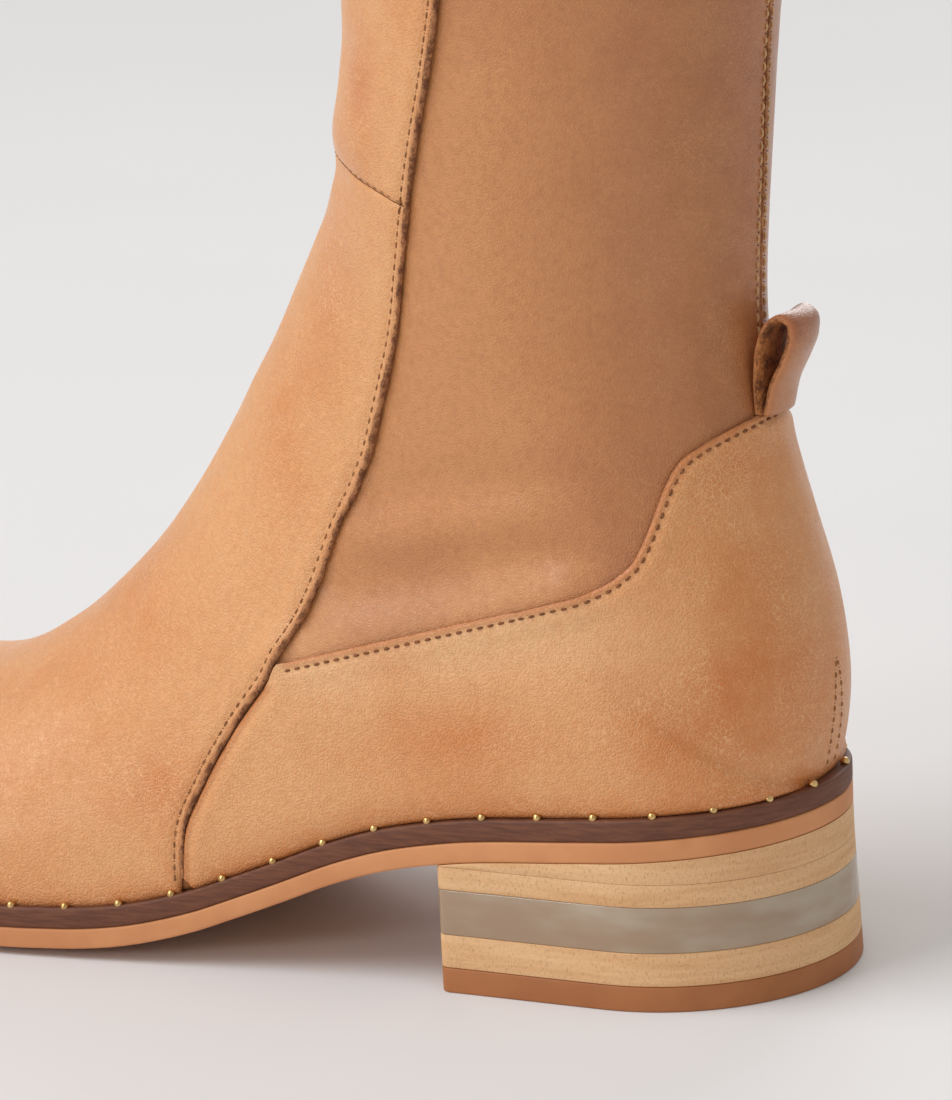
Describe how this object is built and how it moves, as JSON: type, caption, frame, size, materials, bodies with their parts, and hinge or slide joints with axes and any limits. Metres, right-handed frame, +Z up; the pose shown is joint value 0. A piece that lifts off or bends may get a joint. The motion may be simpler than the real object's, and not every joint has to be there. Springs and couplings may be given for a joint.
{
  "type": "knee-high boot",
  "caption": "Left knee-high leather boot with almond toe, lapped side seams, heel quarter with pull loop, studded welt and low stacked heel with a clear layer.",
  "frame": {"origin": "centre of the footprint of the bounding box, on the floor", "axes": "+Z up, the toe points to -Y, +X is the outer (little toe) side of the left foot"},
  "size_m": [0.1132, 0.2733, 0.4121],
  "materials": {
    "leather": "satin full-grain tan leather",
    "side_leather": "smooth semi-gloss tan leather",
    "welt": "matt dark brown welt",
    "outsole": "smooth tan sole",
    "insole": "matt",
    "wood": "pale flecked wood, matt",
    "acrylic": "cloudy grey acrylic",
    "rubber": "matt brown rubber"
  },
  "bodies": {
    "root": {"outsole": "outsole", "welt": "welt", "insole": "insole", "upper": "side_leather", "vamp": "leather", "shaft_front": "leather", "heel_quarter": "leather", "pull_loop": "leather", "heel_wedge": "wood", "heel_upper_lift": "wood", "heel_clear_layer": "acrylic", "heel_lower_lift": "wood", "heel_top_piece": "rubber"}
  },
  "joints": []
}
